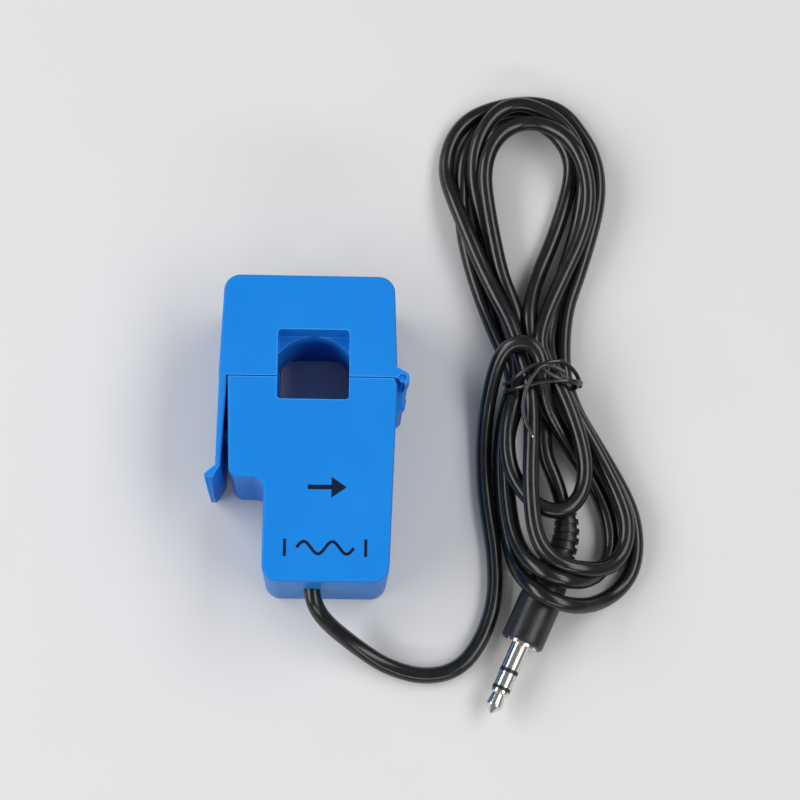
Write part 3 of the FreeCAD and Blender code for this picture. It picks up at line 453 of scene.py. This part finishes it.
def new_group(name, inputs, outputs):
    """A node group with float inputs, given as name to value, and float outputs."""
    tree = bpy.data.node_groups.new(name, "ShaderNodeTree")
    for label, value in inputs.items():
        socket = tree.interface.new_socket(label, in_out="INPUT", socket_type="NodeSocketFloat")
        socket.default_value = value
    for label in outputs:
        tree.interface.new_socket(label, in_out="OUTPUT", socket_type="NodeSocketFloat")
    start = tree.nodes.new("NodeGroupInput")
    end = tree.nodes.new("NodeGroupOutput")
    return tree, start.outputs, end.inputs


def place_vector(tree):
    """The place on the object, in metres."""
    return tree.nodes.new("ShaderNodeTexCoord").outputs["Object"]


def per_mm(tree, count):
    """A texture scale for a count per millimetre."""
    return maths(tree, "MULTIPLY", count, 1.0 / MM)


print("helpers:", [helper.__name__ for helper in (ramp, mixed, new_group, place_vector, per_mm)])

# %% [markdown]
# **Moulding grain.** A mould is spark-eroded, so its plastic has a fine even grain, and the melt
# leaves broad faint clouds in the colour. Two noises at two scales give both.

# %% Group: moulding grain
def make_grain():
    """Height of a fine grain, and a mask of broad clouds."""
    tree, given, made = new_group("moulding_grain", {"Grain per mm": 9.0, "Cloud per mm": 0.12},
                                  ["Height", "Cloud"])
    place = place_vector(tree)
    fine = new_node(tree, "ShaderNodeTexNoise",
                    {"Vector": place, "Scale": per_mm(tree, given["Grain per mm"]),
                     "Detail": 3.0, "Roughness": 0.6})
    cloud = new_node(tree, "ShaderNodeTexNoise",
                     {"Vector": place, "Scale": per_mm(tree, given["Cloud per mm"]),
                      "Detail": 4.0, "Roughness": 0.55})
    feed(tree, made["Height"], fine.outputs["Fac"])
    feed(tree, made["Cloud"], ramp(tree, cloud.outputs["Fac"], 0.3, 0.7))
    return tree


GRAIN = make_grain()
print("group:", GRAIN.name)

# %% [markdown]
# ** Worn edges.** Edges that are handled turn paler. On the blue housing the same pale edge is a
# painted highlight along the rims. The Bevel node gives the normal as if the edge were round, so
# where it differs from the real one there is an edge. That works on any mesh. A noise breaks the
# line, because wear is never even.

# %% Group: worn edges and painted edge highlight
FLAT = 0.998
FULL_EDGE = 0.90


def make_wear_and_highlight_edges():
    """A mask that is 1 on convex and concave edges, with gaps in it."""
    tree, given, made = new_group("worn_and_highlit_edges", {"Width mm": 0.25, "Breaks per mm": 1.2}, ["Mask"])
    rounded = new_node(tree, "ShaderNodeBevel",
                       {"Radius": maths(tree, "MULTIPLY", given["Width mm"], MM)}, samples=6)
    plain = tree.nodes.new("ShaderNodeNewGeometry").outputs["Normal"]
    same = new_node(tree, "ShaderNodeVectorMath", {0: rounded.outputs["Normal"], 1: plain},
                    operation="DOT_PRODUCT").outputs["Value"]
    edge = ramp(tree, same, FLAT, FULL_EDGE)
    broken = new_node(tree, "ShaderNodeTexNoise",
                      {"Vector": place_vector(tree), "Detail": 3.0,
                       "Scale": per_mm(tree, given["Breaks per mm"])}).outputs["Fac"]
    kept = ramp(tree, broken, 0.25, 0.75, 0.35, 1.0)
    feed(tree, made["Mask"], maths(tree, "MULTIPLY", edge, kept))
    return tree


EDGE_WEAR_AND_HIGHLIGHT = make_wear_and_highlight_edges()
print("group:", EDGE_WEAR_AND_HIGHLIGHT.name)

# %% [markdown]
# **Dust and scuffs.** A part that has lain on a table has a few specks of dust and short fine
# scratches. Specks come from a Voronoi pattern, where only some of its cells hold one, and
# scratches from a noise that is stretched a lot in one direction.

# %% Group: dust and scuffs
EMPTY_CELLS = 0.82
SCUFF_TURN = (0.0, 0.0, 0.7)
SCUFF_SCALE = (2600.0, 90.0, 600.0)


def make_dust():
    """A mask of round specks and a mask of short scratches."""
    tree, given, made = new_group("dust_and_scuffs", {"Specks per mm": 0.5, "Speck size": 0.06},
                                  ["Specks", "Scuffs"])
    place = place_vector(tree)
    cells = new_node(tree, "ShaderNodeTexVoronoi",
                     {"Vector": place, "Scale": per_mm(tree, given["Specks per mm"])})
    lot = new_node(tree, "ShaderNodeSeparateColor", {"Color": cells.outputs["Color"]}).outputs[0]
    chosen = maths(tree, "GREATER_THAN", lot, EMPTY_CELLS)
    near = maths(tree, "LESS_THAN", cells.outputs["Distance"], given["Speck size"])
    feed(tree, made["Specks"], maths(tree, "MULTIPLY", chosen, near))
    turned = new_node(tree, "ShaderNodeMapping",
                      {"Vector": place, "Rotation": SCUFF_TURN, "Scale": SCUFF_SCALE})
    streaks = new_node(tree, "ShaderNodeTexNoise",
                       {"Vector": turned.outputs["Vector"], "Scale": 1.0, "Detail": 2.0})
    feed(tree, made["Scuffs"], ramp(tree, streaks.outputs["Fac"], 0.66, 0.8))
    return tree


DUST = make_dust()
print("group:", DUST.name)

# %% [markdown]
# **Wound turns.** The coil's wire and its tape lie side by side round the bobbin. A wave texture
# along one axis gives a rounded ridge for each turn. At scale 1 it makes WAVE_RATE ridges in a
# length of 1, so the wanted count is divided by that.

# %% Group: wound turns
WAVE_RATE = 3.1831


def make_turns():
    """Height of rounded ridges along X, and a mask of the gaps between them."""
    tree, given, made = new_group("wound_turns", {"Turns per mm": 4.0, "Waver": 0.6},
                                  ["Height", "Gap"])
    scale = maths(tree, "MULTIPLY", given["Turns per mm"], 1.0 / (MM * WAVE_RATE))
    wave_node = new_node(tree, "ShaderNodeTexWave",
                         {"Vector": place_vector(tree), "Detail": 1.0, "Detail Scale": 2.0,
                          "Scale": scale, "Distortion": given["Waver"]},
                         bands_direction="X", wave_profile="SIN")
    height = wave_node.outputs["Fac"]
    feed(tree, made["Height"], height)
    feed(tree, made["Gap"], ramp(tree, height, 0.25, 0.0))
    return tree


TURNS = make_turns()
print("group:", TURNS.name)

# %% [markdown]
# ## A finish from the shared groups
# Every finish places the shared groups with its own values. Two small helpers do that and write
# a colour in the form that a socket wants.

# %% Groups and colours in use
def use_group(tree, group, **values):
    """Places a shared group with its own values. An underscore stands for a space in a name."""
    made = tree.nodes.new("ShaderNodeGroup")
    made.node_tree = group
    for name, value in values.items():
        feed(tree, made.inputs[name.replace("_", " ")], value)
    return made.outputs


def rgb(*values):
    """A colour as a socket wants it, with its fourth value."""
    return (*values, 1.0)


DUST_COLOUR = rgb(0.45, 0.45, 0.44)
print("colour of dust:", DUST_COLOUR)

# %% [markdown]
# Most parts need the same recipe: a base colour that clouds a little, a paler tone on worn edges,
# which on the blue plastic is a painted highlight, specks of dust, a roughness that varies, and a
# fine bump. One function builds it, and each finish gives it its own colours and amounts. A value
# that is the same all over, such as the IOR, goes straight onto the shader's own socket.

# %% Finish builder
SCUFF_SHARE = 1.6


def new_finish(name, colour, cloud_colour, edge_colour, roughness, spread=0.06, grain=9.0,
               depth=0.004, cloud=0.12, edge=0.25, edge_share=0.35, dust=0.25, speck=0.05,
               constants=None):
    """A material from the shared groups, with its tree, shader, colour and bump to build on."""
    material = bpy.data.materials.new(name)
    material.use_nodes = True
    material.diffuse_color = colour
    tree = material.node_tree
    shader = tree.nodes["Principled BSDF"]
    for label, value in (constants or {}).items():
        shader.inputs[label].default_value = value
    mould = use_group(tree, GRAIN, Grain_per_mm=grain, Cloud_per_mm=cloud)
    worn_and_lit = use_group(tree, EDGE_WEAR_AND_HIGHLIGHT, Width_mm=edge)
    marks = use_group(tree, DUST, Speck_size=speck)
    tone = mixed(tree, mould["Cloud"], colour, cloud_colour)
    # The edge mask lays a paler tone on worn edges; on the blue plastic that tone is a painted
    # highlight.
    tone = mixed(tree, maths(tree, "MULTIPLY", worn_and_lit["Mask"], edge_share), tone, edge_colour)
    tone = mixed(tree, maths(tree, "MULTIPLY", marks["Specks"], dust), tone, DUST_COLOUR)
    rough = maths(tree, "MULTIPLY_ADD", mould["Cloud"], spread, roughness)
    rough = maths(tree, "MULTIPLY_ADD", marks["Scuffs"], spread * SCUFF_SHARE, rough)
    bump = new_node(tree, "ShaderNodeBump",
                    {"Height": mould["Height"], "Distance": depth * MM, "Strength": 1.0})
    feed(tree, shader.inputs["Base Color"], tone)
    feed(tree, shader.inputs["Roughness"], rough)
    feed(tree, shader.inputs["Normal"], bump.outputs["Normal"])
    return {"material": material, "tree": tree, "shader": shader, "tone": tone, "bump": bump}


print("a finish is built from:", GRAIN.name, EDGE_WEAR_AND_HIGHLIGHT.name, DUST.name)

# %% [markdown]
# What is special about one finish is added afterwards, as a further colour step or another
# height for the bump. Then the finish goes into the material slots of its parts.

# %% Change a finish and dress a part
def recolour(finish, tone):
    """Puts a further colour step in front of the shader."""
    finish["tone"] = tone
    feed(finish["tree"], finish["shader"].inputs["Base Color"], tone)


def reheight(finish, height, depth):
    """Gives the bump another height and depth in millimetres."""
    feed(finish["tree"], finish["bump"].inputs["Height"], height)
    finish["bump"].inputs["Distance"].default_value = depth * MM


def dress(finish, *names):
    """Assigns a finish to the material slots of frame nodes or pieces."""
    for name in names:
        target = nodes[name] if isinstance(name, str) else name
        if not target.data.materials:
            target.data.materials.append(finish["material"])
        for place in target.material_slots:
            place.material = finish["material"]
        print("dressed:", target.name, "in", finish["material"].name)


print("parts to dress:", len(nodes))

# %% [markdown]
# ## The blue housing
# The housing is satin blue plastic, injection moulded and evenly coloured. Its gloss is soft, so
# the roughness is fairly high, with only a little cloud in the colour. The specular level is low,
# because the pale floor would otherwise grey the sides, and the red in the base colour puts back a
# little of that grey as painted sheen. The pale edge colour is a painted highlight along the rims.
# The jaw is one moulding and has no seam.

# %% Finish: blue plastic of the jaw
def blue_plastic(name):
    """The same blue recipe for the jaw and the body."""
    # The red in the base colour adds a little painted sheen, and the pale edge colour is a painted
    # highlight along the rims.
    return new_finish(name, rgb(0.009, 0.198, 0.645), rgb(0.010, 0.212, 0.670),
                      rgb(0.12, 0.42, 0.88), roughness=0.36, spread=0.05, grain=7.0, depth=0.003,
                      cloud=0.05, edge=0.40, edge_share=0.70, dust=0.12, speck=0.03,
                      constants={"IOR": 1.5, "Specular IOR Level": 0.10})


jaw_blue = blue_plastic("blue_jaw_plastic")
dress(jaw_blue, "jaw_shell")

# %% [markdown]
# The two halves of the body meet in a seam round the sides. The solids touch there, so the seam is
# drawn in the body's material, as a fine dark groove. It is found from the height of a place: the
# colour is darkest at SEAM_Z and back to blue at SEAM_HALF to each side.

# %% Finish: blue plastic of the body, with its seam
SEAM_Z = 12.0
SEAM_HALF = 0.07
SEAM_CORE = 0.4
SEAM_STRENGTH = 0.75
SEAM_COLOUR = rgb(0.004, 0.03, 0.11)
blue = blue_plastic("blue_housing_plastic")
tree = blue["tree"]
split = new_node(tree, "ShaderNodeSeparateXYZ", {"Vector": place_vector(tree)})
off_seam = maths(tree, "ABSOLUTE", maths(tree, "SUBTRACT", split.outputs["Z"], SEAM_Z * MM))
seam = ramp(tree, off_seam, SEAM_HALF * MM, SEAM_HALF * MM * SEAM_CORE)
groove = maths(tree, "MULTIPLY", seam, SEAM_STRENGTH)
recolour(blue, mixed(tree, groove, blue["tone"], SEAM_COLOUR))
dress(blue, "front_shell", "rear_shell")

# %% [markdown]
# The ink of the marks is nearly black with a trace of blue, thin enough that the grain of the
# plastic shows through, and slightly broken where it has rubbed.

# %% Finish: ink
ink = new_finish("dark_ink", rgb(0.002, 0.006, 0.022), rgb(0.004, 0.009, 0.030),
                 rgb(0.01, 0.04, 0.12), roughness=0.50, grain=7.0, depth=0.003, edge=0.12,
                 edge_share=0.3, dust=0.1, speck=0.03, constants={"Specular IOR Level": 0.15})
dress(ink, arrow, wave)

# %% [markdown]
# ## The lead's sheath, the tie and the grip
# The sheath is glossy soft black plastic. Its surface is smooth but not perfectly even, so two
# soft highlights run along it and waver slightly. The coating of the tie is the same plastic,
# harder and brighter.

# %% Finishes: sheath and tie
sheath = new_finish("black_cord_sheath", rgb(0.0055, 0.0055, 0.0062), rgb(0.0080, 0.0080, 0.0088),
                    rgb(0.02, 0.02, 0.02), roughness=0.20, spread=0.07, grain=2.2, depth=0.012,
                    cloud=0.35, edge_share=0.0, dust=0.5, speck=0.025, constants={"IOR": 1.52})
dress(sheath, lead)
coating = new_finish("black_tie_coating", rgb(0.014, 0.014, 0.015), rgb(0.020, 0.020, 0.021),
                     rgb(0.05, 0.05, 0.05), roughness=0.10, spread=0.06, grain=3.0, depth=0.008,
                     cloud=0.6, edge_share=0.0, dust=0.4, speck=0.03, constants={"IOR": 1.52})
dress(coating, tie)

# %% [markdown]
# The plug's black parts are harder. The grip is a little duller than the lead, with worn edges,
# and the bands between the contacts are small and clean.

# %% Finishes: grip and contact bands
grip = new_finish("black_grip_plastic", rgb(0.008, 0.008, 0.009), rgb(0.012, 0.012, 0.013),
                  rgb(0.035, 0.035, 0.036), roughness=0.34, spread=0.08, grain=6.0, depth=0.006,
                  cloud=0.3, edge=0.3, edge_share=0.5, dust=0.4, speck=0.04,
                  constants={"IOR": 1.5})
dress(grip, "plug_grip")
band = new_finish("black_contact_band", rgb(0.010, 0.010, 0.010), rgb(0.014, 0.014, 0.014),
                  rgb(0.04, 0.04, 0.04), roughness=0.30, grain=5.0, depth=0.004, edge=0.08)
dress(band, "plug_rear_insulator", "plug_front_insulator")

# %% [markdown]
# ## Metals
# The plug's contacts are bright nickel plating. It mirrors the room, so it has almost no bump,
# only a fine grain and a warm tint that clouds a little. The cut end of the tie's steel is as
# bright. The spring inside the jaw is rolled strip, which is duller.

# %% Finishes: metals
METAL = {"Metallic": 1.0}
nickel = new_finish("bright_nickel", rgb(0.80, 0.78, 0.73), rgb(0.72, 0.69, 0.63),
                    rgb(0.90, 0.88, 0.84), roughness=0.13, spread=0.08, grain=5.0, depth=0.0012,
                    cloud=0.5, edge=0.1, edge_share=0.5, dust=0.2, speck=0.03, constants=METAL)
dress(nickel, "plug_sleeve", "plug_ring", "plug_tip", steel_end)
strip = new_finish("rolled_spring_strip", rgb(0.52, 0.52, 0.53), rgb(0.43, 0.43, 0.45),
                   rgb(0.7, 0.7, 0.7), roughness=0.30, spread=0.12, grain=3.0, depth=0.003,
                   cloud=0.4, edge=0.1, constants=METAL)
dress(strip, "core_spring")

# %% [markdown]
# ## Inside the housing
# The inner parts show only through the window and when the jaw is open, but they get finishes of
# their own all the same: ground ferrite, natural nylon, enamelled wire, yellow tape and so on.

# %% Finishes: core and nylon
ferrite = new_finish("ground_ferrite", rgb(0.185, 0.172, 0.160), rgb(0.225, 0.208, 0.192),
                     rgb(0.34, 0.32, 0.30), roughness=0.55, spread=0.15, grain=5.0, depth=0.010,
                     cloud=1.2, edge=0.2, edge_share=0.6)
dress(ferrite, "upper_core", "lower_core")
natural = new_finish("natural_nylon", rgb(0.70, 0.67, 0.57), rgb(0.64, 0.60, 0.49),
                     rgb(0.8, 0.78, 0.7), roughness=0.42, grain=5.0, depth=0.005,
                     constants={"Subsurface Weight": 0.15, "Subsurface Scale": 0.001})
dress(natural, "bobbin_front_half", "bobbin_rear_half", "cord_tie")

# %% [markdown]
# The coil is enamelled copper wire under yellow tape. Both use the group for wound turns: fine
# ridges for the wire, with painted shade in the gaps between them, and a few wide laps for the
# tape.

# %% Finishes: wire and tape
wire = new_finish("enamelled_copper_wire", rgb(0.55, 0.20, 0.075), rgb(0.46, 0.15, 0.05),
                  rgb(0.7, 0.35, 0.18), roughness=0.28, spread=0.1, grain=2.0, depth=0.01,
                  cloud=0.7, edge_share=0.0,
                  constants={"Metallic": 0.85, "Coat Weight": 0.6, "Coat Roughness": 0.15})
turns = use_group(wire["tree"], TURNS, Turns_per_mm=5.0, Waver=0.8)
# The dark colour in the gaps between the turns is painted shade.
recolour(wire, mixed(wire["tree"], turns["Gap"], wire["tone"], rgb(0.08, 0.02, 0.008)))
reheight(wire, turns["Height"], 0.08)
dress(wire, "secondary_winding", "winding_ends")
tape = new_finish("yellow_coil_tape", rgb(0.78, 0.53, 0.09), rgb(0.70, 0.45, 0.06),
                  rgb(0.86, 0.68, 0.25), roughness=0.30, spread=0.08, grain=1.5, depth=0.02,
                  cloud=0.5)
laps = use_group(tape["tree"], TURNS, Turns_per_mm=0.12, Waver=0.2)
recolour(tape, mixed(tape["tree"], laps["Gap"], tape["tone"], rgb(0.52, 0.33, 0.04)))
dress(tape, "winding_tape")

# %% [markdown]
# The board is green lacquer over glass cloth, whose weave shows as faint lines, and the resistor
# is dipped in blue lacquer.

# %% Finishes: board and resistor
WEAVE_SHARE = 0.35
board = new_finish("green_circuit_board", rgb(0.012, 0.110, 0.045), rgb(0.018, 0.145, 0.058),
                   rgb(0.35, 0.36, 0.22), roughness=0.26, spread=0.08, grain=1.2, depth=0.008,
                   cloud=0.6, edge=0.15, edge_share=0.6)
weave = use_group(board["tree"], TURNS, Turns_per_mm=1.6, Waver=0.0)
threads = maths(board["tree"], "MULTIPLY", weave["Gap"], WEAVE_SHARE)
recolour(board, mixed(board["tree"], threads, board["tone"], rgb(0.03, 0.19, 0.08)))
dress(board, "load_board")
resistor = new_finish("resistor_lacquer", rgb(0.12, 0.30, 0.52), rgb(0.10, 0.26, 0.47),
                      rgb(0.3, 0.45, 0.6), roughness=0.24, spread=0.08, grain=2.0, depth=0.01,
                      cloud=0.6)
dress(resistor, "load_resistor")

# %% [markdown]
# The lead's two conductors have soft plastic insulation, one red and one white.

# %% Finishes: conductors
red = new_finish("red_insulation", rgb(0.50, 0.012, 0.010), rgb(0.42, 0.008, 0.008),
                 rgb(0.6, 0.08, 0.06), roughness=0.36, grain=3.0, depth=0.008, cloud=0.5)
dress(red, "red_conductor")
white = new_finish("white_insulation", rgb(0.74, 0.73, 0.69), rgb(0.68, 0.66, 0.61),
                   rgb(0.8, 0.8, 0.78), roughness=0.36, grain=3.0, depth=0.008, cloud=0.5)
dress(white, "white_conductor")
print("finishes:", len(bpy.data.materials))

# %% [markdown]
# ## Floor
# The floor is a plain pale sheet that takes the object's shadow. The camera and the reflections in
# metal see it paler than it lights the object, so that the sides and the lower end keep their
# shade. Light Path tells the kinds of ray apart.

# %% Floor
FLOOR_HALF = 1.2
FLOOR_GAP = 0.00005
floor_data = bpy.data.meshes.new("floor")
grid = bmesh.new()
bmesh.ops.create_grid(grid, x_segments=4, y_segments=4, size=FLOOR_HALF)
grid.to_mesh(floor_data)
grid.free()
floor = bpy.data.objects.new("floor", floor_data)
bpy.context.scene.collection.objects.link(floor)
floor.location = (0.0, 0.0, -FLOOR_GAP)
floor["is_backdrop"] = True
print("floor: a square of", 2 * FLOOR_HALF, "m")

# %% [markdown]
# The paper's colour is a grey with a faint cloud in it, and a darker grey for the rays that only
# carry light.

# %% Floor material
PAPER_DARK = rgb(0.640, 0.640, 0.643)
PAPER_PALE = rgb(0.656, 0.656, 0.659)
PAPER_AS_LIGHT = rgb(0.26, 0.26, 0.265)
paper = bpy.data.materials.new("pale_floor")
paper.use_nodes = True
tree = paper.node_tree
paper_shader = tree.nodes["Principled BSDF"]
cloud = new_node(tree, "ShaderNodeTexNoise",
                 {"Vector": place_vector(tree), "Scale": 40.0, "Detail": 2.0}).outputs["Fac"]
rays = new_node(tree, "ShaderNodeLightPath").outputs
mirrored = maths(tree, "MAXIMUM", rays["Is Glossy Ray"], rays["Is Transmission Ray"])
seen = maths(tree, "MAXIMUM", rays["Is Camera Ray"], mirrored)
feed(tree, paper_shader.inputs["Base Color"],
     mixed(tree, seen, PAPER_AS_LIGHT, mixed(tree, cloud, PAPER_DARK, PAPER_PALE)))
paper_shader.inputs["Roughness"].default_value = 0.8
floor_data.materials.append(paper)
print("floor finish:", paper.name)

# %% [markdown]
# ## Light
# Two long soft lamps stand left and right, so that every strand of the lead carries two thin
# highlights. A third in front lifts the near faces and draws short bright crescents on the near
# loops. Each lamp is turned so that its length lies along Y and it faces the object's middle.

# %% Lamps
TARGET = Vector((22.0, 5.0, 0.0)) * MM


def soft_lamp(name, place, width, length, power):
    """A rectangular lamp that faces TARGET. Places and sizes are in metres, power in watts."""
    data = bpy.data.lights.new(name, "AREA")
    data.shape = "RECTANGLE"
    data.size = width
    data.size_y = length
    data.energy = power
    lamp = bpy.data.objects.new(name, data)
    bpy.context.scene.collection.objects.link(lamp)
    away = Vector(place) - TARGET
    side = Vector((0.0, 1.0, 0.0)).cross(away).normalized()
    along = away.normalized().cross(side)
    turn = Matrix((side, along, away.normalized())).transposed().to_4x4()
    lamp.matrix_world = Matrix.Translation(Vector(place)) @ turn
    print("lamp:", name, power, "W")


soft_lamp("left_softbox", (-0.80, 0.0, 0.60), width=0.50, length=1.4, power=10.0)
soft_lamp("right_softbox", (0.66, 0.05, 0.86), width=0.46, length=1.4, power=7.6)
soft_lamp("near_softbox", (0.05, -0.95, 0.58), width=0.95, length=0.13, power=2.6)

# %% [markdown]
# The world adds an even grey from all round, with a trace of blue. Together with the lamps it
# lights a level face so that a colour comes out about as it is written.

# %% World
WORLD_COLOUR = rgb(0.98, 0.99, 1.0)
WORLD_STRENGTH = 0.22
world = bpy.data.worlds.new("even_grey")
bpy.context.scene.world = world
world.use_nodes = True
background = world.node_tree.nodes["Background"]
background.inputs["Color"].default_value = WORLD_COLOUR
background.inputs["Strength"].default_value = WORLD_STRENGTH
print("world strength:", WORLD_STRENGTH)

# %% [markdown]
# ## The two boxes
# The box of the solids and the box of the dressed part are both printed. The dressed part has
# to stay in the box of its solids.

# %% Sizes and finish
bpy.context.view_layer.update()
looks_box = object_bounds()
sizes = {"cad": [list(corner) for corner in cad_box],
         "looks": [list(corner) for corner in looks_box]}
for label, box in sizes.items():
    print("box of the", label, "in metres:", [[round(v, 4) for v in corner] for corner in box])
